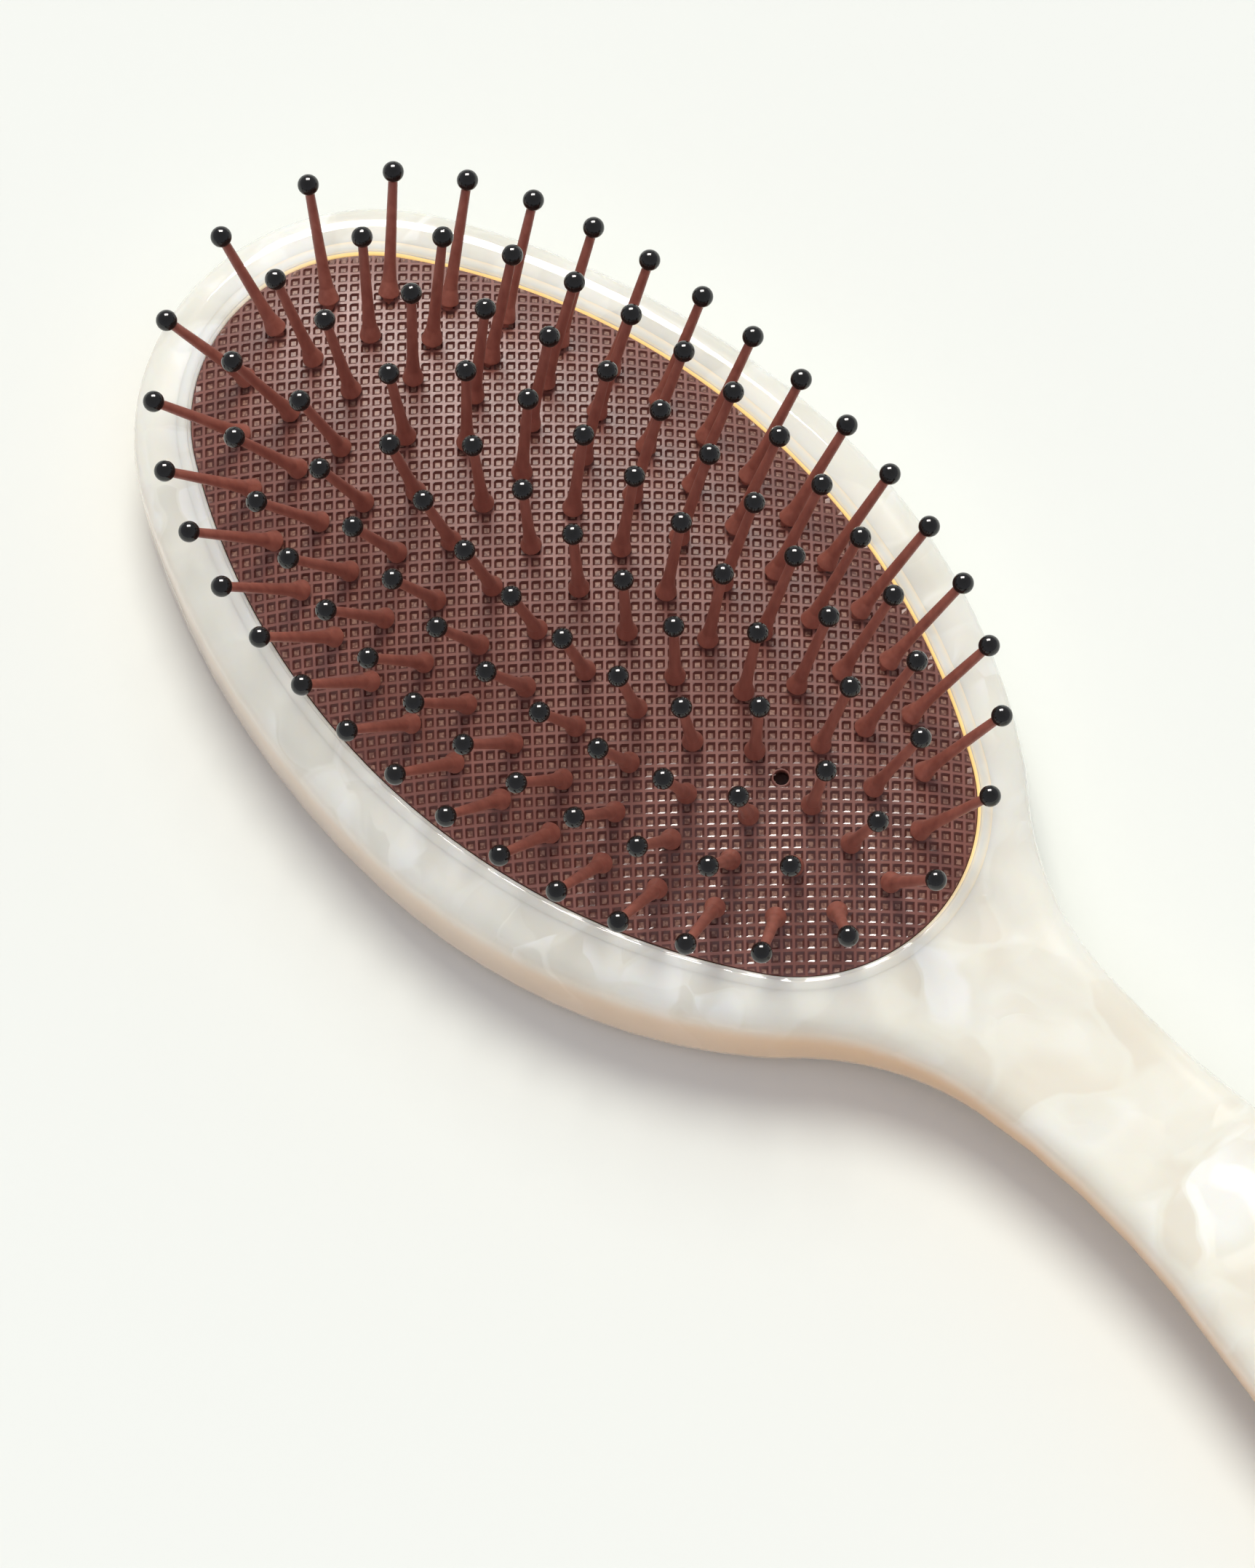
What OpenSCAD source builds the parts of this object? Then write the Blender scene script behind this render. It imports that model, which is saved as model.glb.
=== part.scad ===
// Detangling hairbrush lying on its back, pins up.
// Long axis along X with the head at negative X, the back of the head on Z zero.

/* [Head] */
// Length of the head over its long axis, as if the handle were left off
head_length = 110.7; // [109:0.1:114]
// Distance from the tip of the head to its widest line
widest_from_tip = 59.2; // [56:0.1:61]
// Distance from the tip of the head to the middle of the pad
pad_from_tip = 56; // [55.5:0.1:57]
// Width of the head across the long axis
head_width = 67.5; // [65:0.5:70]
// Thickness of the head from its back to the rim face
head_thickness = 15.5; // [14.5:0.5:18]
// Radius of the head oval at its two ends, as a share of its width
head_end_radius_share = 0.372; // [0.36:0.002:0.39]
// Rounding of the upper outer edge
top_edge_radius = 3; // [2:0.5:4]
// Rounding of the lower outer edge
bottom_edge_radius = 4; // [3:0.5:5]

/* [Handle] */
// Length of the whole brush
brush_length = 224; // [215:1:240]
// Thickness of the handle
handle_thickness = 10.5; // [9.5:0.5:12.5]
// Width of the handle at its waist
waist_width = 17.8; // [16.4:0.2:20]
// Distance from the middle of the pad to the waist
waist_from_pad = 77.9; // [76:0.1:80]
// Radius of the hollow side of the waist
waist_side_radius = 110; // [100:1:120]
// Radius of the fillet between head and waist
neck_fillet_radius = 33.5; // [30:0.5:37]
// Width of the handle at its bulge
bulge_width = 31; // [28:0.5:34]
// Distance from the waist to the bulge
bulge_from_waist = 60; // [56:1:64]

/* [Cushion pad] */
// Length of the visible rubber pad
pad_length = 100; // [97:0.5:102]
// Width of the visible rubber pad
pad_width = 55.2; // [53:0.2:56]
// Radius of the pad oval at its two ends, as a share of its width
pad_end_radius_share = 0.335; // [0.32:0.005:0.35]
// Rise of the dome from the edge of the pad to its middle
dome_rise = 5.6; // [5:0.2:7]
// Height of the pad edge above the rim face
pad_edge_height = 0.9; // [0.6:0.1:1.4]
// Thickness of the rubber
rubber_thickness = 1.2; // [1:0.1:1.4]
// Reach of the lip into the groove
lip_reach = 1.6; // [1.2:0.1:2]
// Height of the lip
lip_height = 1.3; // [1:0.1:1.6]
// Depth of the top of the lip below the rim face
lip_depth = 1.6; // [1.4:0.1:2]
// Depth of the recess below the rim face
recess_depth = 8; // [7:0.5:9]
// Width of the bevel round the mouth of the recess
mouth_bevel = 0.4; // [0.3:0.1:0.6]
// Diameter of the air vent in the pad
vent_diameter = 1.6; // [1.2:0.1:1.8]
// Distance of the vent from the middle of the pad, towards the handle
vent_from_middle = 29.1; // [28.5:0.1:29.7]

/* [Pin rows] */
// Number of pins in the middle row
row_pins = 5; // [3:2:5]
// Spacing of the pins in the middle row
row_spacing = 6.95; // [6.6:0.05:7.2]
// Number of pins in the innermost ring
inner_ring_pins = 16; // [14:2:16]
// Pins that each ring has more than the ring inside it
pins_per_ring_step = 6; // [4:2:6]
// Half length of the innermost ring
inner_ring_reach = 25.3; // [24.8:0.1:26]
// Half length of the outermost ring
outer_ring_reach = 44.5; // [44:0.1:45.5]
// Share of the way out for the second ring
second_ring_share = 0.42; // [0.38:0.01:0.44]
// Share of the way out for the third ring
third_ring_share = 0.71; // [0.68:0.01:0.73]
// Half width of the innermost ring
inner_ring_side = 6.1; // [5.9:0.1:6.6]
// Half width of the outermost ring
outer_ring_side = 21.6; // [21:0.1:22]
// Slope of the pins towards the ends of the head, the part that grows evenly
end_lean_share = 0.12; // [0.08:0.01:0.16]
// Slope of the pins towards the ends, the part that grows near the edge
end_lean_edge_share = 0.68; // [0.55:0.01:0.75]
// Slope of the pins towards the side, the part that grows evenly
side_lean_share = 0.85; // [0.75:0.01:0.95]
// Part of the slope towards the side that is lost near the edge
side_lean_loss_share = 0.19; // [0.1:0.01:0.3]
// Slope towards the side that is gained near the ends of the outer rings
side_lean_corner_share = 1.1; // [0.8:0.05:1.2]
// Part of each ring that counts as its ends
ring_end_share = 0.75; // [0.7:0.01:0.8]

/* [Pins] */
// Length of a pin from the rubber to the middle of its ball
pin_length = 16.1; // [15:0.1:18]
// Diameter of the shaft just above the foot
shaft_low_diameter = 1.5; // [1.4:0.1:1.6]
// Diameter of the shaft under the ball
shaft_top_diameter = 1; // [0.9:0.1:1.1]
// Diameter of the flared foot
foot_diameter = 2.25; // [2.1:0.05:2.3]
// Height of the widest line of the foot above the rubber
foot_height = 0.6; // [0.6:0.05:0.8]
// Height at which the flare of the foot ends
flare_height = 2.4; // [2.2:0.1:2.8]
// Diameter of the neck in the rubber
neck_diameter = 1.2; // [1.1:0.05:1.3]
// Diameter of the head under the rubber
pin_head_diameter = 2.4; // [2.2:0.1:2.6]
// Thickness of the head under the rubber
pin_head_thickness = 0.7; // [0.6:0.1:0.9]
// Room between the rubber and the pin head
pin_head_room = 0.6; // [0.6:0.05:0.8]
// Diameter of the ball tip
ball_diameter = 2.25; // [2.1:0.05:2.4]
// Diameter of the spigot inside the ball
spigot_diameter = 0.6; // [0.5:0.05:0.7]

/* [Fits] */
// Clearance of the pins in the rubber, on the radius
pin_clearance = 0.1; // [0.06:0.01:0.15]
// Gap of the lip in its groove and of the pad in the mouth
seat_gap = 0.05; // [0.03:0.01:0.1]
// Gap between spigot and ball
tip_gap = 0.02; // [0.01:0.01:0.03]

/* [Hidden] */
$fn = 96;

// Places along the brush
rim_z = head_thickness;
tail_x = brush_length / 2;
tip_x = -tail_x;
wide_x = tip_x + widest_from_tip;
pad_x = tip_x + pad_from_tip;
head_rear_reach = head_length - widest_from_tip;
head_side = head_width / 2;
handle_z = head_thickness - handle_thickness;
overrun = head_thickness;

// Arcs of an oval from its half length, half width and end radius
function side_radius(a, b, e) = (a * a - 2 * a * e + b * b) / (2 * (b - e));
function side_angle(a, b, e) = atan2(side_radius(a, b, e) - b, a - e);

head_end_radius = head_width * head_end_radius_share;
front_side_radius = side_radius(widest_from_tip, head_side, head_end_radius);
front_side_angle = side_angle(widest_from_tip, head_side, head_end_radius);
rear_side_radius = side_radius(head_rear_reach, head_side, head_end_radius);
rear_side_angle = side_angle(head_rear_reach, head_side, head_end_radius);

// Waist and neck arcs, both hollow, with the neck arc touching the head end and the waist
waist_x = pad_x + waist_from_pad;
waist_y = waist_width / 2 + waist_side_radius;
rear_x = tip_x + head_length - head_end_radius;
span_x = waist_x - rear_x;
span = norm([span_x, waist_y]);
reach_head = head_end_radius + neck_fillet_radius;
reach_waist = waist_side_radius - neck_fillet_radius;
along = (reach_head * reach_head - reach_waist * reach_waist + span * span) / (2 * span);
beside = sqrt(reach_head * reach_head - along * along);
neck_x = rear_x + along * span_x / span + beside * waist_y / span;
neck_y = along * waist_y / span - beside * span_x / span;
rear_angle = atan2(neck_y, neck_x - rear_x);
neck_angle = atan2(neck_y - waist_y, neck_x - waist_x);

// Bulge arc, touching the waist arc, and the round end of the handle
bulge_side = bulge_width / 2;
bulge_x = waist_x + bulge_from_waist;
bulge_over = bulge_side - waist_width / 2;
bulge_arc_radius = (bulge_from_waist * bulge_from_waist / bulge_over
  - 2 * waist_side_radius + bulge_over) / 2;
bulge_y = bulge_side - bulge_arc_radius;
bulge_angle = atan2(bulge_y - waist_y, bulge_x - waist_x);
tail_run = tail_x - bulge_x;
inner_run = bulge_arc_radius - tail_run;
tail_shift = (bulge_y * bulge_y - inner_run * inner_run) / (2 * inner_run);
tail_centre_x = bulge_x + tail_shift;
tail_radius = tail_x - tail_centre_x;
tail_angle = atan2(-bulge_y, tail_shift);

// Pad sizes and the two barrel curves of its dome
pad_half = pad_length / 2;
pad_side = pad_width / 2;
pad_end_radius = pad_width * pad_end_radius_share;
pad_side_radius = side_radius(pad_half, pad_side, pad_end_radius);
pad_side_angle = side_angle(pad_half, pad_side, pad_end_radius);
pad_top = rim_z + pad_edge_height + dome_rise;
dome_cross_radius = (pad_side * pad_side + dome_rise * dome_rise) / (2 * dome_rise);
dome_long_radius = (pad_half * pad_half + dome_rise * dome_rise) / (2 * dome_rise);
barrel_z = pad_top - dome_cross_radius;
lip_top_z = rim_z - lip_depth;
lip_bottom_z = lip_top_z - lip_height;
recess_z = rim_z - recess_depth;

// Height of the outside of the pad over a point, seen from the middle of the pad
function barrel_radius(x) = dome_cross_radius - dome_long_radius
  + sqrt(dome_long_radius * dome_long_radius - x * x);
function pad_height(x, y) = barrel_z + sqrt(barrel_radius(x) * barrel_radius(x) - y * y);

// Slope of a pin along and across the brush, from its place on the pad
function reach(p) = pow(p[0] / pad_half, 2) + pow(p[1] / pad_side, 2);
function end_lean(p) = p[0] / pad_half
  * (end_lean_share + end_lean_edge_share * pow(reach(p), 2));
function side_lean(p) = p[1] / pad_side * (side_lean_share
  - side_lean_loss_share * pow(p[1] / pad_side, 4)
  + side_lean_corner_share * pow(p[0] / pad_half, 2) * reach(p));

// Half length and half width of each ring
ring_shares = [0, second_ring_share, third_ring_share, 1];
function ring_reach(ring) = inner_ring_reach
  + ring_shares[ring - 1] * (outer_ring_reach - inner_ring_reach);
function ring_side(ring) = inner_ring_side
  + (ring - 1) * (outer_ring_side - inner_ring_side) / 3;
function ring_pins(ring) = inner_ring_pins + (ring - 1) * pins_per_ring_step;

// Places at even steps of length round a ring, starting at the end away from the handle
ring_steps = 180;
function ring_point(ring, t) = [-ring_reach(ring) * cos(t), ring_side(ring) * sin(t)];
function step_length(ring, i) = norm(ring_point(ring, (i + 1) * 360 / ring_steps)
  - ring_point(ring, i * 360 / ring_steps));
function ring_table(ring) = [for (i = 0, s = 0; i <= ring_steps;
  s = s + step_length(ring, i), i = i + 1) [s, i * 360 / ring_steps]];
function ring_points(ring) = let (table = ring_table(ring), whole = table[ring_steps][0],
  count = ring_pins(ring)) [for (i = [0 : count - 1])
  ring_point(ring, lookup(i * whole / count, table))];
function is_end(ring, p) = abs(p[0]) > ring_end_share * ring_reach(ring);
function side_points(ring) = [for (p = ring_points(ring)) if (!is_end(ring, p)) p];
function end_points(ring) = [for (p = ring_points(ring)) if (is_end(ring, p)) p];
row_points = [for (i = [0 : row_pins - 1]) [(i - (row_pins - 1) / 2) * row_spacing, 0]];
all_points = concat(row_points, ring_points(1), ring_points(2), ring_points(3),
  ring_points(4));

// Levels along one pin, from the rubber
pin_head_top = -(rubber_thickness + pin_head_room);
pin_head_bottom = pin_head_top - pin_head_thickness;
shaft_low_height = 2 * flare_height;
ball_flat = pin_length - sqrt(ball_diameter * ball_diameter
  - shaft_top_diameter * shaft_top_diameter) / 2;
shoulder = ball_flat - tip_gap;
spigot_end = pin_length + spigot_diameter / 2;

// Points along an arc, the last one left to the arc that follows
arc_turn = 4;
function arc_points(x, y, r, a0, a1) = let (steps = ceil(abs(a1 - a0) / arc_turn))
  [for (i = [0 : steps - 1])
    let (a = a0 + (a1 - a0) * i / steps) [x + r * cos(a), y + r * sin(a)]];

// A half outline and its mirror image as one round of points, each at its height
function whole_round(half, heights) = let (last = len(half) - 1)
  concat([for (i = [0 : last]) [half[i][0], half[i][1], heights[i]]],
    [for (i = [last - 1 : -1 : 1]) [half[i][0], -half[i][1], heights[i]]]);

// Half of the outline from the tip of the head to the tail, drawn inwards by an inset
function half_outline(inset) = concat(
  arc_points(tip_x + head_end_radius, 0, head_end_radius - inset, 180,
    180 - front_side_angle),
  arc_points(wide_x, head_side - front_side_radius, front_side_radius - inset,
    180 - front_side_angle, 90),
  arc_points(wide_x, head_side - rear_side_radius, rear_side_radius - inset,
    90, rear_side_angle),
  arc_points(rear_x, 0, head_end_radius - inset, rear_side_angle, rear_angle),
  arc_points(neck_x, neck_y, neck_fillet_radius + inset, rear_angle - 180, neck_angle),
  arc_points(waist_x, waist_y, waist_side_radius + inset, neck_angle, bulge_angle),
  arc_points(bulge_x, bulge_y, bulge_arc_radius - inset, bulge_angle + 180, tail_angle),
  arc_points(tail_centre_x, 0, tail_radius - inset, tail_angle, 0),
  [[tail_x - inset, 0]]);

// Height of the underside, which rises from the back of the head to the handle
function rise_share(x) = min(1, max(0, (x - rear_x) / (waist_x - rear_x)));
function underside(x) = handle_z * rise_share(x) * rise_share(x) * (3 - 2 * rise_share(x));

// Levels of the loft: inset of the outline, height above the underside, drop below the rim face
edge_steps = 5;
low_levels = [for (i = [0 : edge_steps]) let (a = 90 * i / edge_steps)
  [bottom_edge_radius * (1 - sin(a)), bottom_edge_radius * (1 - cos(a)), -1]];
high_levels = [for (i = [0 : edge_steps]) let (a = 90 * i / edge_steps)
  [top_edge_radius * (1 - cos(a)), 0, top_edge_radius * (1 - sin(a))]];
levels = concat(low_levels, high_levels);
function level_height(level, x) = level[2] < 0 ? underside(x) + level[1] : rim_z - level[2];
function level_points(level) = let (half = half_outline(level[0]))
  whole_round(half, [for (p = half) level_height(level, p[0])]);
half_count = len(half_outline(0));
round_count = 2 * half_count - 2;
top_start = (len(levels) - 1) * round_count;

// Faces of the loft, each listed clockwise as seen from outside
wall_faces = [for (j = [0 : len(levels) - 2]) for (k = [0 : round_count - 1])
  let (low = j * round_count, high = low + round_count, next = (k + 1) % round_count)
  for (face = [[low + k, low + next, high + next], [low + k, high + next, high + k]]) face];
bottom_faces = concat([[0, round_count - 1, 1]],
  [for (i = [1 : half_count - 3]) [i + 1, i, round_count - i, round_count - i - 1]],
  [[half_count - 1, half_count - 2, half_count]]);
top_faces = concat([[top_start, top_start + 1, top_start + round_count - 1]],
  [for (i = [top_start + 1 : top_start + half_count - 3])
    [i, i + 1, 2 * top_start + round_count - i - 1, 2 * top_start + round_count - i]],
  [[top_start + half_count - 2, top_start + half_count - 1, top_start + half_count]]);

module frame_block() {
  polyhedron(points = [for (level = levels) for (p = level_points(level)) p],
    faces = concat(wall_faces, bottom_faces, top_faces));
}

// Funnel that bevels the mouth of the recess, narrower than the recess at its foot
function mouth_half(grow) = concat(
  arc_points(pad_x - pad_half + pad_end_radius, 0, pad_end_radius + grow, 180,
    180 - pad_side_angle),
  arc_points(pad_x, pad_side - pad_side_radius, pad_side_radius + grow,
    180 - pad_side_angle, pad_side_angle),
  arc_points(pad_x + pad_half - pad_end_radius, 0, pad_end_radius + grow,
    pad_side_angle, 0),
  [[pad_x + pad_half + grow, 0]]);
mouth_count = 2 * len(mouth_half(0)) - 2;
function mouth_points(grow, z) = let (half = mouth_half(grow))
  whole_round(half, [for (p = half) z]);

module mouth_funnel() {
  polyhedron(points = concat(mouth_points(-mouth_bevel, rim_z - 2 * mouth_bevel),
      mouth_points(2 * mouth_bevel, rim_z + mouth_bevel)),
    faces = concat([[for (k = [mouth_count - 1 : -1 : 0]) k]],
      [[for (k = [0 : mouth_count - 1]) mouth_count + k]],
      [for (k = [0 : mouth_count - 1]) let (next = (k + 1) % mouth_count)
        [k, next, mouth_count + next, mouth_count + k]]));
}

// Flat oval drawn with four arcs, grown or shrunk by one step all round
module oval(a, b, e, grow) {
  r = side_radius(a, b, e) + grow;
  turn = side_angle(a, b, e);
  shift = side_radius(a, b, e) - b;
  intersection() {
    translate([0, -shift])
      circle(r = r);
    translate([0, shift])
      circle(r = r);
    square([2 * r * cos(turn), 2 * (b + grow)], center = true);
  }
  translate([a - e, 0])
    circle(r = e + grow);
  translate([e - a, 0])
    circle(r = e + grow);
}

module pad_oval(grow) {
  translate([pad_x, 0])
    oval(pad_half, pad_side, pad_end_radius, grow);
}

module pad_block(grow, z0, z1) {
  translate([0, 0, z0])
    linear_extrude(z1 - z0)
      pad_oval(grow);
}

module handle_frame() {
  color([0.93, 0.92, 0.88])
    difference() {
      frame_block();
      mouth_funnel();
      pad_block(0, recess_z, rim_z + overrun);
      pad_block(lip_reach, lip_bottom_z - seat_gap, lip_top_z + seat_gap);
    }
}

// Body of the dome, turned round an axis that runs along the brush
module barrel(depth) {
  translate([pad_x, 0, barrel_z])
    rotate([0, 90, 0])
      rotate_extrude()
        intersection() {
          translate([dome_cross_radius - dome_long_radius, 0])
            circle(r = dome_long_radius - depth);
          translate([0, -pad_length])
            square([dome_long_radius, 2 * pad_length]);
        }
}

module at_pin(p) {
  lean = norm([end_lean(p), side_lean(p)]);
  translate([pad_x + p[0], p[1], pad_height(p[0], p[1])])
    rotate([0, atan(lean), atan2(side_lean(p), end_lean(p))])
      children();
}

module cushion_pad() {
  wall = -seat_gap - rubber_thickness;
  color([0.42, 0.24, 0.21])
    difference() {
      union() {
        intersection() {
          barrel(0);
          pad_block(-seat_gap, lip_bottom_z, pad_top);
        }
        pad_block(lip_reach - seat_gap, lip_bottom_z, lip_top_z);
      }
      intersection() {
        barrel(rubber_thickness);
        pad_block(wall, lip_bottom_z - overrun, pad_top);
      }
      for (p = all_points)
        at_pin(p)
          cylinder(r = neck_diameter / 2 + pin_clearance, h = 4 * rubber_thickness,
            center = true);
      translate([pad_x + vent_from_middle, 0, pad_top])
        cylinder(r = vent_diameter / 2, h = overrun, center = true);
    }
}

// One pin, turned round its own axis
module pin() {
  rotate_extrude()
    polygon([[0, pin_head_bottom], [pin_head_diameter / 2, pin_head_bottom],
      [pin_head_diameter / 2, pin_head_top], [neck_diameter / 2, pin_head_top],
      [neck_diameter / 2, pin_clearance], [foot_diameter / 2, foot_height],
      [foot_diameter / 2, foot_height + pin_clearance],
      [shaft_low_diameter / 2, flare_height],
      [(shaft_low_diameter + shaft_top_diameter) / 4, shaft_low_height],
      [shaft_top_diameter / 2, shoulder], [spigot_diameter / 2, shoulder],
      [spigot_diameter / 2, spigot_end], [0, spigot_end]]);
}

// One ball tip with the bore that takes the spigot
module ball_tip() {
  rotate_extrude()
    difference() {
      intersection() {
        translate([0, pin_length])
          circle(d = ball_diameter);
        translate([0, ball_flat])
          square([ball_diameter, ball_diameter]);
      }
      translate([0, ball_flat])
        square([spigot_diameter / 2 + tip_gap, spigot_end + tip_gap - ball_flat]);
    }
}

module pins(points) {
  color([0.36, 0.17, 0.14])
    for (p = points)
      at_pin(p)
        pin();
}

module tips(points) {
  color([0.03, 0.03, 0.03])
    for (p = points)
      at_pin(p)
        ball_tip();
}

module pins_middle_row() {
  pins(row_points);
}

module tips_middle_row() {
  tips(row_points);
}

module pins_ring_1_sides() {
  pins(side_points(1));
}

module tips_ring_1_sides() {
  tips(side_points(1));
}

module pins_ring_1_ends() {
  pins(end_points(1));
}

module tips_ring_1_ends() {
  tips(end_points(1));
}

module pins_ring_2_sides() {
  pins(side_points(2));
}

module tips_ring_2_sides() {
  tips(side_points(2));
}

module pins_ring_2_ends() {
  pins(end_points(2));
}

module tips_ring_2_ends() {
  tips(end_points(2));
}

module pins_ring_3_sides() {
  pins(side_points(3));
}

module tips_ring_3_sides() {
  tips(side_points(3));
}

module pins_ring_3_ends() {
  pins(end_points(3));
}

module tips_ring_3_ends() {
  tips(end_points(3));
}

module pins_ring_4_sides() {
  pins(side_points(4));
}

module tips_ring_4_sides() {
  tips(side_points(4));
}

module pins_ring_4_ends() {
  pins(end_points(4));
}

module tips_ring_4_ends() {
  tips(end_points(4));
}

handle_frame();
cushion_pad();
pins_middle_row();
tips_middle_row();
pins_ring_1_sides();
tips_ring_1_sides();
pins_ring_1_ends();
tips_ring_1_ends();
pins_ring_2_sides();
tips_ring_2_sides();
pins_ring_2_ends();
tips_ring_2_ends();
pins_ring_3_sides();
tips_ring_3_sides();
pins_ring_3_ends();
tips_ring_3_ends();
pins_ring_4_sides();
tips_ring_4_sides();
pins_ring_4_ends();
tips_ring_4_ends();
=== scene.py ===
from math import atan2, cos, pi, radians, sin

import bpy
import numpy as np
from mathutils import Matrix, Vector


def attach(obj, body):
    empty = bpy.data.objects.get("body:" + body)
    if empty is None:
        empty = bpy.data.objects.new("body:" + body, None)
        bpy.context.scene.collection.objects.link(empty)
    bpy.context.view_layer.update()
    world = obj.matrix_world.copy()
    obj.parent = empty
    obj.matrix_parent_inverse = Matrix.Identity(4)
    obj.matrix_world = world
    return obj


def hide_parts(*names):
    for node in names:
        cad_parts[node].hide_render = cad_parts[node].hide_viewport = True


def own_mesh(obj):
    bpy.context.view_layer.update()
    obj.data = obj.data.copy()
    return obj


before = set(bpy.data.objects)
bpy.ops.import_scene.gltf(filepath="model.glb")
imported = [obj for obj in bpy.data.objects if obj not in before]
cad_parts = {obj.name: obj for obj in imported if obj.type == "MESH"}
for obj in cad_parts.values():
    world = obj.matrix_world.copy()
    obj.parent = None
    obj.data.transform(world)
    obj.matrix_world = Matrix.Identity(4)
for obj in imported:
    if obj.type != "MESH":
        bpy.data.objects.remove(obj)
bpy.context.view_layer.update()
scene = bpy.context.scene

MM = 0.001

# The head's middle on the rim face, in metres, and the way from it to the origin, in millimetres
HEAD = Vector((-0.056, 0, 0.0155))
HEAD_TO_ORIGIN = (56.0, 0.0, 0.0)

# The camera, fitted to the ball tips and the outline: its turn in degrees, its place from the head
# along its own axes in millimetres, its lens in pixels of the photograph, and its clipping in metres
CAMERA_TURN = ((-19.86, "X"), (-2.185, "Y"), (-44.282, "Z"))
CAMERA_SHIFT = (4.765, -17.953, 1421.0)
LENS_PX, PHOTO_WIDTH_PX, SENSOR_MM = 18750.3, 1725, 36
CLIP_NEAR, CLIP_FAR = 0.05, 20

# The oval pad, in millimetres: half length, half width, radius of the ends, rise of the dome,
# and height of its edge over the rim face
PAD_HALF, PAD_SIDE, PAD_END, RISE, EDGE = 50.0, 27.6, 18.492, 5.6, 0.9

# The waffle: pitch and depth in millimetres, and its turn on the pad
PITCH, PIT_DEPTH, LATTICE = 1.28, 0.3, radians(44.8)
# Half a rib, and where a pit's floor starts, as shares of the pitch
RIB, FLOOR = 0.11, 0.3
# Width of the plain border, in millimetres, and reach of the grid as a multiple of the half length
BORDER, GRID_REACH = 0.45, 1.2
# How far the pad's edge lies inside its oval, and the width and drop of its roll, in millimetres
SEAT, ROLL, ROLL_DROP = 0.06, 7.0, 0.97
# The strip that closes the pad's edge, in millimetres: its lift over the rolled dome, the height
# of its foot over the rim face, and how far the foot reaches in
EDGE_LIFT, EDGE_FOOT, EDGE_REACH = 0.004, -1.2, 1.2

# The air vent, in millimetres: distance from the head's middle, radius, and the room round it
VENT_X, VENT_R, VENT_ROOM = 29.1, 0.8, 0.12
# Its lip and well as radii and heights over the dome, from the outside in
VENT_PROFILE = (
    (VENT_R + 0.3, -0.38), (VENT_R + 0.14, 0.005), (VENT_R + 0.06, 0.0), (VENT_R, -0.07),
    (VENT_R, -1.2), (2.2, -1.25), (2.2, -3.4), (0.05, -3.4))

# The round edge at the mouth of the recess, in millimetres: its flat start as growth and height,
# then the width, depth and lift of its quarter round
MOUTH_START = ((1.6, -0.005), (1.25, 0.025))
MOUTH_WIDE, MOUTH_DEEP, MOUTH_LIFT = 0.9, 0.34, 0.045

# Counts of points round the oval, round the vent and over the mouth's edge
OVAL_STEPS, VENT_STEPS, MOUTH_STEPS = 360, 40, 15
# A place on a rib in the lattice, which gives a plain ring the colour of the ribs
ON_A_RIB = 0.05
# Half the width of the floor, in metres
FLOOR_HALF = 3
# The least length that anything is divided by, in millimetres
TINY = 1e-9


# Camera

def camera_turn():
    """The turn from the shared frame to the camera's own axes."""
    turn = Matrix.Identity(3)
    for degrees, axis in CAMERA_TURN:
        turn = turn @ Matrix.Rotation(radians(degrees), 3, axis)
    return turn


TURN = camera_turn()
camera = bpy.data.objects.new("camera", bpy.data.cameras.new("camera"))
scene.collection.objects.link(camera)
place = TURN.transposed() @ Vector(CAMERA_SHIFT) * MM + HEAD
camera.matrix_world = Matrix.Translation(place) @ TURN.transposed().to_4x4()
camera.data.sensor_fit = "HORIZONTAL"
camera.data.sensor_width = SENSOR_MM
camera.data.lens = SENSOR_MM * LENS_PX / PHOTO_WIDTH_PX
camera.data.clip_start = CLIP_NEAR
camera.data.clip_end = CLIP_FAR
scene.camera = camera


# Shader helpers

# The middle of a noise or cell colour
HALF = (0.5, 0.5, 0.5)


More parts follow.
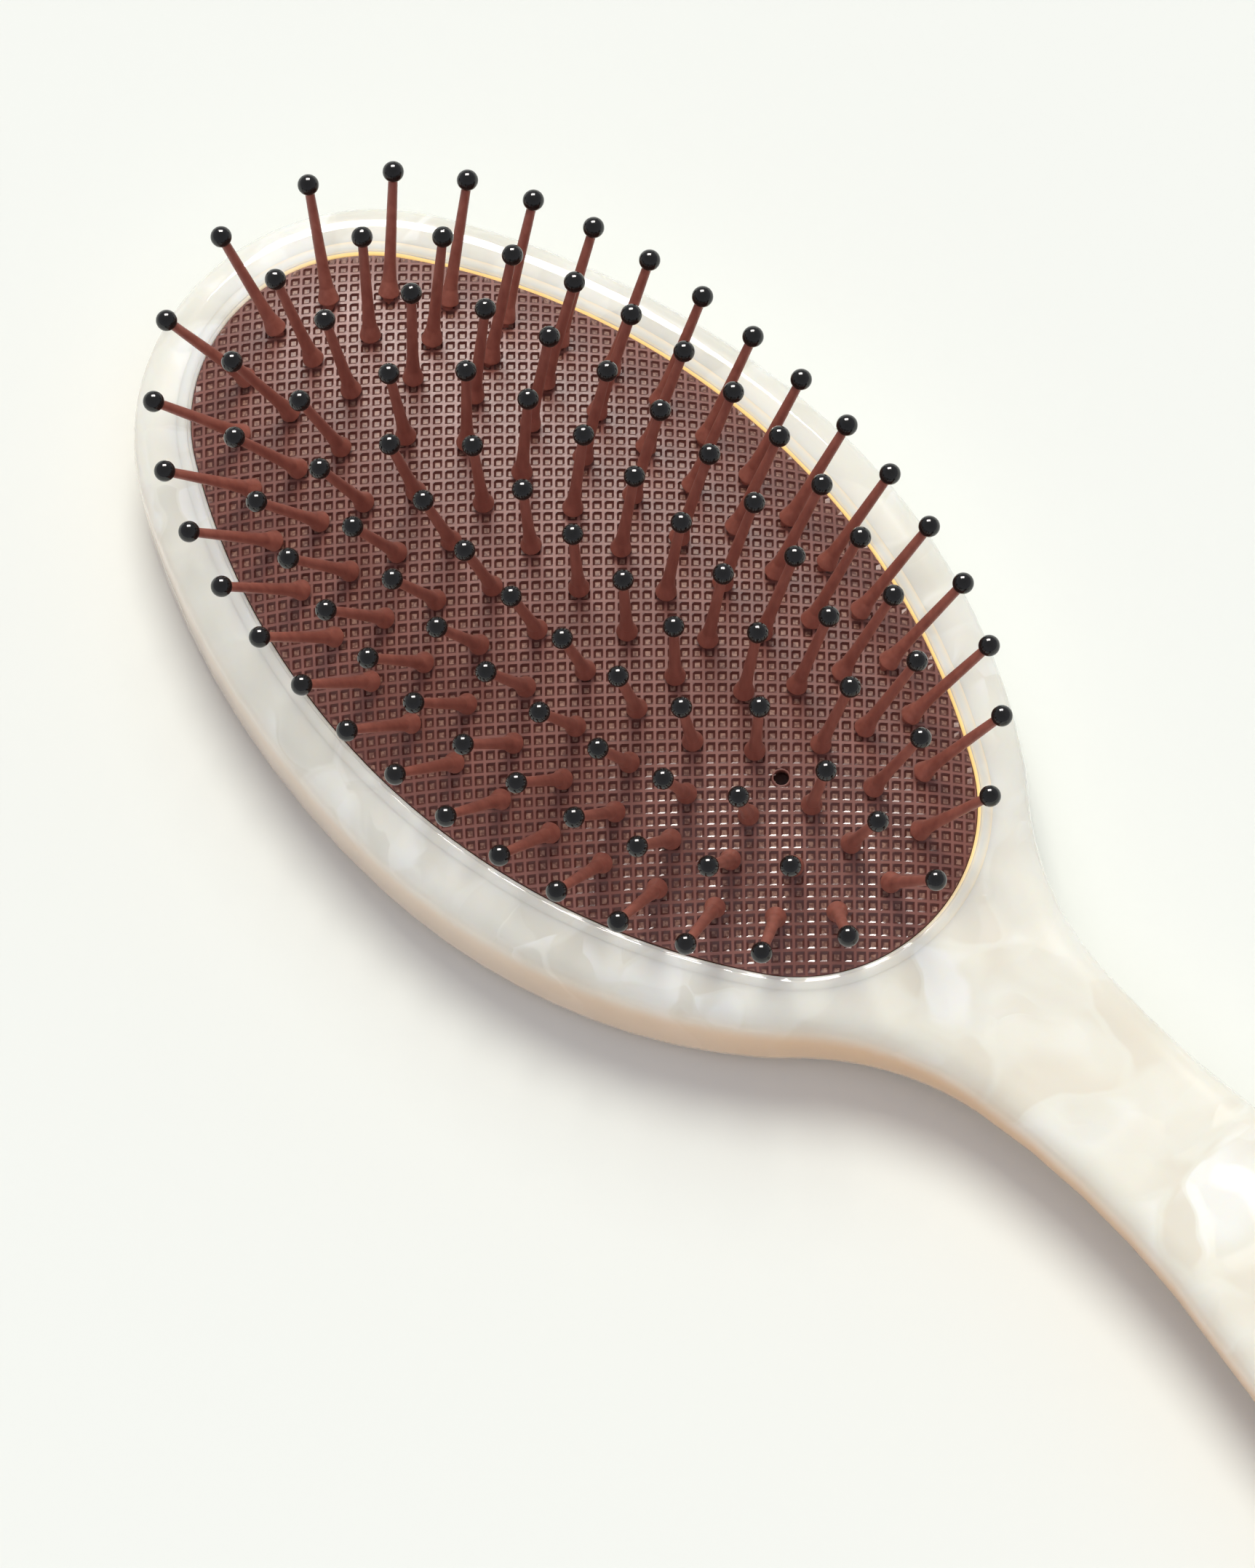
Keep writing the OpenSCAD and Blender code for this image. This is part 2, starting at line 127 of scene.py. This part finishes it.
class Nodes:
    """A material's node tree with short calls for the nodes used here."""

    def __init__(self, name):
        self.material = bpy.data.materials.new(name)
        self.material.use_nodes = True
        self.tree = self.material.node_tree
        self.bsdf = self.tree.nodes["Principled BSDF"]

    def put(self, socket, value):
        if isinstance(value, bpy.types.NodeSocket):
            self.tree.links.new(value, socket)
        else:
            socket.default_value = value

    def node(self, kind, settings=None, **inputs):
        n = self.tree.nodes.new(kind)
        for key, value in (settings or {}).items():
            setattr(n, key, value)
        for key, value in inputs.items():
            self.put(n.inputs[key.replace("_", " ")], value)
        return n

    def math(self, op, a, b):
        n = self.node("ShaderNodeMath", {"operation": op})
        self.put(n.inputs[0], a)
        self.put(n.inputs[1], b)
        return n.outputs[0]

    def product(self, *values):
        total = values[0]
        for value in values[1:]:
            total = self.math("MULTIPLY", total, value)
        return total

    def vmath(self, op, a, b=(0, 0, 0), out="Vector"):
        n = self.node("ShaderNodeVectorMath", {"operation": op})
        self.put(n.inputs[0], a)
        self.put(n.inputs[1], b)
        return n.outputs[out]

    def scaled(self, a, factor):
        return self.node("ShaderNodeVectorMath", {"operation": "SCALE"},
                         Vector=a, Scale=factor).outputs["Vector"]

    def ramp(self, value, low, high, to_low=0.0, to_high=1.0):
        return self.node("ShaderNodeMapRange", {"interpolation_type": "SMOOTHSTEP"}, Value=value,
                         From_Min=low, From_Max=high, To_Min=to_low, To_Max=to_high).outputs[0]

    def mix(self, factor, a, b):
        n = self.node("ShaderNodeMix", {"data_type": "RGBA"})
        for socket, v in zip([n.inputs[0], n.inputs[6], n.inputs[7]], (factor, a, b)):
            self.put(socket, v)
        return n.outputs[2]

    def place(self):
        """The object's own coordinates in millimetres."""
        return self.scaled(self.node("ShaderNodeTexCoord").outputs["Object"], 1 / MM)

    def split(self, vector):
        return self.node("ShaderNodeSeparateXYZ", Vector=vector).outputs

    def facing(self):
        """The shading normal of the surface."""
        return self.node("ShaderNodeNewGeometry").outputs["Normal"]

    def noise(self, vector, scale, detail, out="Fac"):
        return self.node("ShaderNodeTexNoise", Vector=vector, Scale=scale, Detail=detail).outputs[out]

    def wander(self, vector, scale, reach):
        """A slow drift in every direction, by up to half the reach."""
        drift = self.vmath("SUBTRACT", self.noise(vector, scale, 1.0, "Color"), HALF)
        return self.scaled(drift, reach)

    def bump(self, height, strength, distance):
        return self.node("ShaderNodeBump", Height=height, Strength=strength,
                         Distance=distance).outputs[0]

    def set(self, **inputs):
        for key, value in inputs.items():
            self.put(self.bsdf.inputs[key.replace("_", " ")], value)


def colour(r, g, b):
    """An sRGB colour from 0 to 255 as linear values."""
    def lin(c):
        c /= 255
        return c / 12.92 if c <= 0.04045 else ((c + 0.055) / 1.055) ** 2.4
    return (lin(r), lin(g), lin(b), 1.0)


# Materials, with places and lengths in millimetres

def plates(m, vector, size, seed, softness):
    """Overlapping plates: each cell slopes its own way, which paints it bright on one side, a painted
    sheen.
    """
    v = m.vmath("ADD", m.scaled(vector, 1 / size), seed)
    cell = m.node("ShaderNodeTexVoronoi", {"feature": "SMOOTH_F1"}, Vector=v, Scale=1.0,
                  Smoothness=softness)
    inner = m.vmath("SUBTRACT", v, cell.outputs["Position"])
    heading = m.vmath("SUBTRACT", cell.outputs["Color"], HALF)
    return m.vmath("DOT_PRODUCT", inner, heading, out="Value"), heading


def pearl_nodes(name):
    """Mother of pearl acetate: soft plates with a painted sheen, clouds, and a painted tan glow as if
    lit through.
    """
    m = Nodes(name)
    p = m.place()
    drift = m.wander(p, scale=0.05, reach=20.0)
    curl = m.wander(p, scale=0.14, reach=6.0)
    swirl = m.vmath("ADD", p, m.vmath("ADD", drift, curl))
    flat = m.vmath("MULTIPLY", swirl, (1.0, 1.0, 0.5))
    slope_a, head_a = plates(m, flat, size=11.0, seed=(0.0, 0.0, 0.0), softness=0.3)
    slope_b, head_b = plates(m, flat, size=6.0, seed=(3.1, 7.7, 1.3), softness=0.15)
    show_a = m.ramp(m.noise(m.vmath("ADD", p, (40.0, 9.0, 0.0)), 0.06, 1.0), 0.34, 0.55)
    show_b = m.ramp(m.noise(p, 0.09, 1.0), 0.42, 0.6)
    xyz = m.split(p)
    along = m.ramp(xyz[0], -45.0, 25.0)
    cloud = m.ramp(m.noise(swirl, 0.085, 3.0), 0.35, 0.65)
    base = m.mix(along, colour(234, 232, 222), colour(234, 231, 219))
    base = m.mix(m.product(cloud, 0.45), base, colour(240, 240, 234))
    deep = m.mix(along, colour(198, 194, 180), colour(217, 202, 180))
    # Each plate is painted light on one side and dark on the other by its slope: painted sheen and shade
    # over the acetate's own plates
    lift_a = m.product(m.ramp(slope_a, 0.02, 0.22), show_a)
    drop_a = m.product(m.ramp(slope_a, -0.02, -0.22), show_a)
    lift_b = m.product(m.ramp(slope_b, 0.04, 0.24), show_b)
    drop_b = m.product(m.ramp(slope_b, -0.04, -0.24), show_b)
    dark = m.math("MAXIMUM", drop_a, m.product(drop_b, 0.8))
    light = m.math("MAXIMUM", lift_a, m.product(lift_b, 0.8))
    tone = m.mix(m.product(dark, 0.3), base, deep)
    tone = m.mix(m.product(light, 0.75), tone, colour(245, 245, 241))
    facing = m.facing()
    facing_xyz = m.split(facing)
    # Painted tan glow low on the side turned from the light, standing in for light let through, most of
    # all on the handle
    strength = m.math("ADD", 0.55, m.product(along, 0.45))
    low = m.product(m.ramp(xyz[2], 15.5, 9.5), strength, m.ramp(facing_xyz[1], 0.3, -0.5))
    tone = m.mix(low, tone, colour(238, 188, 134))
    flat_part = m.ramp(facing_xyz[2], 0.4, 0.9)
    tilt = m.vmath("ADD", m.scaled(head_a, 0.17), m.scaled(head_b, 0.15))
    normal = m.vmath("NORMALIZE", m.vmath("ADD", facing, m.scaled(tilt, flat_part)))
    m.set(Base_Color=tone, Roughness=0.36, Normal=normal, Specular_IOR_Level=0.15,
          Coat_Weight=1.0, Coat_Roughness=0.04, Coat_IOR=1.49,
          Subsurface_Weight=0.4, Subsurface_Radius=(1.0, 0.8, 0.55), Subsurface_Scale=0.003)
    return m, xyz, tone


def pearl():
    """The acetate of head and handle."""
    return pearl_nodes("pearl_acetate")[0].material


def pearl_edge():
    """The thin edge round the recess, with a painted amber glow along the far side."""
    m, xyz, plain = pearl_nodes("pearl_edge")
    # Painted glow: on the far side, below the rim face, the edge is tinted amber and made to emit light
    far = m.product(m.ramp(xyz[1], -8.0, 14.0), m.ramp(xyz[2], 15.56, 15.42))
    tone = m.mix(far, plain, colour(250, 214, 140))
    m.set(Base_Color=tone, Emission_Color=tone, Normal=m.facing(),
          Emission_Strength=m.product(far, 0.5), Coat_Roughness=0.03)
    return m.material


def handle_end(m, p):
    """A mask of the pad's end by the handle, where the photograph shows the pits shine."""
    at = m.split(m.vmath("ADD", p, HEAD_TO_ORIGIN))
    diagonal = 0.707
    down = m.product(m.math("SUBTRACT", at[0], at[1]), diagonal)
    right = m.product(m.math("ADD", at[0], at[1]), diagonal)
    return m.product(m.ramp(down, 15.0, 27.0), m.ramp(right, -4.0, 12.0), m.ramp(right, 37.0, 29.0))


def rubber():
    """Waffle rubber: the mesh carries its lattice in the UV map, one unit per cell."""
    m = Nodes("waffle_rubber")
    uv = m.split(m.node("ShaderNodeTexCoord").outputs["UV"])
    inside = m.math("MINIMUM", m.math("PINGPONG", uv[0], 0.5), m.math("PINGPONG", uv[1], 0.5))
    p = m.place()
    patch = m.noise(p, 0.09, 3.0)
    grain = m.noise(p, 3.0, 3.0)
    top = m.mix(m.ramp(patch, 0.35, 0.7), colour(124, 76, 66), colour(144, 95, 85))
    # The pit walls are painted darker than the ribs, a painted shade in the pits
    side = colour(94, 50, 43)
    floor = m.mix(m.ramp(grain, 0.35, 0.7), colour(112, 72, 60), colour(166, 126, 108))
    tone = m.mix(m.ramp(inside, 0.09, 0.13), top, side)
    tone = m.mix(m.ramp(inside, 0.27, 0.31), tone, floor)
    tone = m.mix(m.ramp(grain, 0.55, 0.8, 0.0, 0.3), tone, colour(88, 50, 44))
    wall = m.product(m.ramp(inside, 0.1, 0.12), m.ramp(inside, 0.31, 0.29))
    # The coat's normal leans up, as on the rounded foot of a pit wall, so it mirrors the back light
    foot = m.vmath("NORMALIZE", m.vmath("ADD", m.facing(), (0, 0, 1.8)))
    m.set(Base_Color=tone, Roughness=m.ramp(grain, 0.2, 0.8, 0.42, 0.54), Specular_IOR_Level=0.5,
          Normal=m.bump(grain, 0.12, 0.0001),
          Coat_Weight=m.product(wall, handle_end(m, p)), Coat_Roughness=0.12, Coat_Normal=foot)
    return m.material


def nylon():
    """Satin moulded pins with a faint streak along them."""
    m = Nodes("brown_nylon")
    streak = m.noise(m.vmath("MULTIPLY", m.place(), (1.0, 1.0, 0.12)), 1.3, 2.0)
    tone = m.mix(streak, colour(128, 68, 56), colour(176, 108, 92))
    m.set(Base_Color=tone, Roughness=0.42, Specular_IOR_Level=0.45,
          Normal=m.bump(streak, 0.1, 0.0002), Subsurface_Weight=0.08, Subsurface_Scale=0.001)
    return m.material


def black_gloss():
    """Glossy black with faint specks, for the ball tips."""
    m = Nodes("black_gloss")
    speck = m.noise(m.place(), 1.5, 2.0)
    m.set(Base_Color=m.mix(speck, colour(12, 12, 11), colour(26, 25, 23)), Roughness=0.1,
          Specular_IOR_Level=0.5)
    return m.material


def floor_paper():
    """Pale matt paper, a little uneven."""
    m = Nodes("floor_paper")
    soft = m.noise(m.place(), 0.02, 2.0)
    m.set(Base_Color=m.mix(soft, (0.836, 0.85, 0.819, 1), (0.84, 0.854, 0.823, 1)),
          Roughness=0.9, Specular_IOR_Level=0.0)
    return m.material


ACETATE, EDGE_GLOW, RUBBER = pearl(), pearl_edge(), rubber()
NYLON, BLACK = nylon(), black_gloss()


# The solids of the frame, dressed

def dress(obj, material):
    """Gives an object one material."""
    obj.data.materials.clear()
    obj.data.materials.append(material)


def smooth_over(obj, degrees, weld_distance=0.00001):
    """Joins the faces and shades them smoothly, with edges sharper than the angle kept."""
    group = bpy.data.node_groups.new("smooth_over", "GeometryNodeTree")
    group.interface.new_socket("Geometry", in_out="INPUT", socket_type="NodeSocketGeometry")
    group.interface.new_socket("Geometry", in_out="OUTPUT", socket_type="NodeSocketGeometry")
    nodes, links = group.nodes, group.links
    start, end = nodes.new("NodeGroupInput"), nodes.new("NodeGroupOutput")
    plain = nodes.new("GeometryNodeRemoveAttribute")
    plain.inputs["Name"].default_value = "custom_normal"
    weld = nodes.new("GeometryNodeMergeByDistance")
    weld.inputs["Distance"].default_value = weld_distance
    soft = nodes.new("GeometryNodeSetShadeSmooth")
    sharp = nodes.new("GeometryNodeSetShadeSmooth")
    sharp.domain = "EDGE"
    sharp.inputs["Shade Smooth"].default_value = False
    angle = nodes.new("GeometryNodeInputMeshEdgeAngle")
    steep = nodes.new("FunctionNodeCompare")
    steep.operation = "GREATER_THAN"
    steep.inputs["B"].default_value = radians(degrees)
    links.new(angle.outputs["Unsigned Angle"], steep.inputs["A"])
    links.new(steep.outputs["Result"], sharp.inputs["Selection"])
    chain = [start, plain, weld, soft, sharp, end]
    for a, b in zip(chain, chain[1:]):
        links.new(a.outputs[0], b.inputs[0])
    obj.modifiers.new("smooth_over", "NODES").node_group = group


for name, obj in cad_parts.items():
    if name.startswith("pins_"):
        dress(obj, NYLON)
    elif name.startswith("tips_"):
        dress(obj, BLACK)
    elif name == "handle_frame":
        dress(obj, ACETATE)
        smooth_over(obj, degrees=28)


# The rubber pad with its waffle, in millimetres from the head's middle

# Radii of the dome across and along the pad, and of the oval's side arc
CROSS = (PAD_SIDE ** 2 + RISE ** 2) / (2 * RISE)
LONG = (PAD_HALF ** 2 + RISE ** 2) / (2 * RISE)
SIDE_R = (PAD_HALF ** 2 - 2 * PAD_HALF * PAD_END + PAD_SIDE ** 2) / (2 * (PAD_SIDE - PAD_END))


def dome(x, y):
    """Height of the pad above the rim face, with a root that stays real outside the oval."""
    across = CROSS - LONG + np.sqrt(LONG ** 2 - x ** 2)
    return EDGE + RISE - CROSS + np.sqrt(np.maximum(across ** 2 - y ** 2, 1))


def out_by(x, y):
    """How far a point is outside the pad's oval, and the unit vector that leads there."""
    ax, ay = np.abs(x), np.abs(y)
    ex, sy = PAD_HALF - PAD_END, PAD_SIDE - SIDE_R
    end = (ax - ex) * (-sy) - ay * ex > 0
    cx, cy, r = np.where(end, ex, 0), np.where(end, 0, sy), np.where(end, PAD_END, SIDE_R)
    dx, dy = ax - cx, ay - cy
    d = np.maximum(np.hypot(dx, dy), TINY)
    return d - r, np.sign(x) * dx / d, np.sign(y) * dy / d


def in_frame(x, y, z):
    """Points given in millimetres from the head's middle, in metres in the shared frame."""
    return np.column_stack([x, y, z]) * MM + np.array(HEAD)


def new_mesh(name, points, faces, material, uv=None):
    """An object of one material, with a UV place for each point where they are given."""
    mesh = bpy.data.meshes.new(name)
    mesh.from_pydata([tuple(p) for p in points], [], [tuple(int(i) for i in f) for f in faces])
    mesh.update()
    if uv is not None:
        layer = mesh.uv_layers.new(name="lattice")
        loops = np.empty(len(mesh.loops), dtype=np.int32)
        mesh.loops.foreach_get("vertex_index", loops)
        layer.data.foreach_set("uv", np.asarray(uv, float)[loops].ravel())
    mesh.materials.append(material)
    obj = bpy.data.objects.new(name, mesh)
    scene.collection.objects.link(obj)
    return obj


def pad_surface():
    """Grid that follows the lattice: a rib, the slope into a pit, its floor and the slope out."""
    steps = np.array([0, RIB, FLOOR, 1 - FLOOR, 1 - RIB])
    n = int(PAD_HALF * GRID_REACH / PITCH)
    line = (np.arange(-n, n)[:, None] + steps[None]).ravel()
    s, t = np.meshgrid(line, line, indexing="ij")
    u, v = s * PITCH, t * PITCH
    lx = u * cos(LATTICE) - v * sin(LATTICE)
    ly = u * sin(LATTICE) + v * cos(LATTICE)
    x = LONG * np.sin(lx / LONG)
    y = CROSS * np.sin(ly / CROSS)
    out, dx, dy = out_by(x, y)
    edge = out > -SEAT
    x = np.where(edge, x - (out + SEAT) * dx, x)
    y = np.where(edge, y - (out + SEAT) * dy, y)
    near_s, near_t = np.abs(s - np.round(s)), np.abs(t - np.round(t))
    pit = (np.minimum(near_s, near_t) > (RIB + FLOOR) / 2) & (out < -BORDER)
    roll = np.clip((np.minimum(out, -SEAT) + ROLL) / ROLL, 0, 1)
    z = dome(x, y) - ROLL_DROP * roll ** 2 - np.where(pit, PIT_DEPTH, 0.0)
    return s, t, x, y, z, out


def make_pad():
    """The grid's cells that lie in the pad's oval and clear of the vent."""
    s, t, x, y, z, out = pad_surface()
    count = len(s)
    index = np.arange(count * count).reshape(count, count)
    quads = np.stack([index[:-1, :-1], index[1:, :-1], index[1:, 1:], index[:-1, 1:]], -1).reshape(-1, 4)
    inside = (out < -SEAT).ravel()
    quads = quads[inside[quads].any(1)]
    px, py = x.ravel(), y.ravel()
    qx, qy = px[quads].mean(1), py[quads].mean(1)
    quads = quads[np.hypot(qx - VENT_X, qy) > VENT_R + VENT_ROOM]
    used, flat = np.unique(quads, return_inverse=True)
    points = in_frame(px, py, z.ravel())[used]
    uv = np.stack([s.ravel(), t.ravel()], 1)[used]
    return new_mesh("waffle_pad", points, flat.reshape(-1, 4), RUBBER, uv)


pad = make_pad()
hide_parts("cushion_pad")


def ring_mesh(name, rings, material):
    """Rounds of points joined in order."""
    count = len(rings[0])
    points = np.concatenate(rings)
    faces = []
    for j in range(len(rings) - 1):
        low, high = j * count, (j + 1) * count
        for k in range(count):
            n = (k + 1) % count
            faces.append((low + k, low + n, high + n, high + k))
    return new_mesh(name, points, faces, material, np.full((len(points), 2), ON_A_RIB))


def oval_round(grow):
    """Points round the pad's oval, grown outwards."""
    turn = atan2(SIDE_R - PAD_SIDE, PAD_HALF - PAD_END)
    out = []
    for i in range(OVAL_STEPS):
        a = 2 * pi * i / OVAL_STEPS
        c, sn = cos(a), sin(a)
        if abs(sn) < sin(turn):
            cx, cy, r = (PAD_HALF - PAD_END) * (1 if c > 0 else -1), 0, PAD_END
        else:
            cx, cy, r = 0, (PAD_SIDE - SIDE_R) * (1 if sn > 0 else -1), SIDE_R
        out.append((cx + (r + grow) * c, cy + (r + grow) * sn))
    return np.array(out).T


def rim_strip(name, levels, material):
    """Ovals at a growth and a height over the rim face each, joined into a strip."""
    rings = []
    for grow, z in levels:
        x, y = oval_round(grow)
        rings.append(in_frame(x, y, np.full(len(x), z)))
    return ring_mesh(name, rings, material)


def pad_strip():
    """The strip under the pad's edge, which starts where the rolled dome ends."""
    x, y = oval_round(-SEAT)
    rings = [in_frame(x, y, dome(x, y) + (EDGE_LIFT - ROLL_DROP))]
    for grow in (-SEAT, -EDGE_REACH):
        x, y = oval_round(grow)
        rings.append(in_frame(x, y, np.full(len(x), EDGE_FOOT)))
    return ring_mesh("pad_edge", rings, RUBBER)


def vent_well():
    """The lip and the dark well of the air vent."""
    rings = []
    a = np.linspace(0, 2 * pi, VENT_STEPS, endpoint=False)
    for r, z in VENT_PROFILE:
        x, y = VENT_X + r * np.cos(a), r * np.sin(a)
        rings.append(in_frame(x, y, dome(x, y) + z))
    return ring_mesh("vent_well", rings, RUBBER)


def mouth_levels():
    """Growth and height of each oval of the round edge, from the outside in."""
    arc = [(MOUTH_WIDE * (1 - sin(a)), MOUTH_DEEP * (cos(a) - 1) + MOUTH_LIFT)
           for a in np.linspace(0, pi / 2, MOUTH_STEPS)]
    return list(MOUTH_START) + arc


edge = pad_strip()
vent = vent_well()

# Round edge of the acetate at the mouth of the recess
mouth = rim_strip("mouth_edge", mouth_levels(), EDGE_GLOW)
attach(mouth, "frame")
for poly in mouth.data.polygons:
    poly.use_smooth = True

for piece in (pad, edge, vent):
    for poly in piece.data.polygons:
        poly.use_smooth = piece is not pad
    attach(piece, "frame")
    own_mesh(piece)


# Floor, light and background

corners = np.array([(-1, -1, 0), (1, -1, 0), (1, 1, 0), (-1, 1, 0)], float) * FLOOR_HALF
floor = new_mesh("floor", corners, [(0, 1, 2, 3)], floor_paper())

world = bpy.data.worlds.new("studio")
scene.world = world
world.use_nodes = True
sky = world.node_tree.nodes
height = sky.new("ShaderNodeSeparateXYZ")
rise = sky.new("ShaderNodeMapRange")
world.node_tree.links.new(sky.new("ShaderNodeTexCoord").outputs["Generated"], height.inputs[0])
world.node_tree.links.new(height.outputs["Z"], rise.inputs["Value"])
for socket, value in (("From Min", 0.1), ("From Max", 0.9), ("To Min", 0.49), ("To Max", 0.34)):
    rise.inputs[socket].default_value = value
world.node_tree.links.new(rise.outputs[0], sky["Background"].inputs["Strength"])
sky["Background"].inputs["Color"].default_value = (1.0, 1.01, 1.12, 1)


def towards(right, up, near):
    """A direction given as the photograph sees it, turned into the shared frame."""
    return (TURN.transposed() @ Vector((right, up, near))).normalized()


def lamp(name, kind, direction, power, tone):
    """A light turned so that it shines from a direction."""
    light = bpy.data.objects.new(name, bpy.data.lights.new(name, kind))
    light.data.energy = power
    light.data.color = tone
    light.rotation_euler = direction.to_track_quat("Z", "Y").to_euler()
    scene.collection.objects.link(light)
    return light


def sun(name, direction, power, degrees, tone):
    """A wide sun that gloss doesn't mirror."""
    light = lamp(name, "SUN", direction, power, tone)
    light.data.angle = radians(degrees)
    light.visible_glossy = False


def softbox(name, direction, distance, size, power, tone):
    """A rectangle of light for gloss, which lights no diffuse surface."""
    light = lamp(name, "AREA", direction, power, tone)
    light.data.shape = "RECTANGLE"
    light.data.size, light.data.size_y = size
    light.location = HEAD + direction * distance
    light.visible_diffuse = False


sun("key", towards(right=-0.065, up=0.69, near=0.72), power=2.1, degrees=26,
    tone=(1.0, 0.995, 0.895))
sun("front_fill", towards(right=0.0, up=0.0, near=1.0), power=0.39, degrees=45,
    tone=(1.0, 0.992, 1.03))
softbox("back_softbox", towards(right=-0.07, up=0.91, near=0.41), distance=0.9,
        size=(0.48, 0.34), power=16.5, tone=(1.0, 0.95, 0.9))

scene.view_settings.view_transform = "Standard"
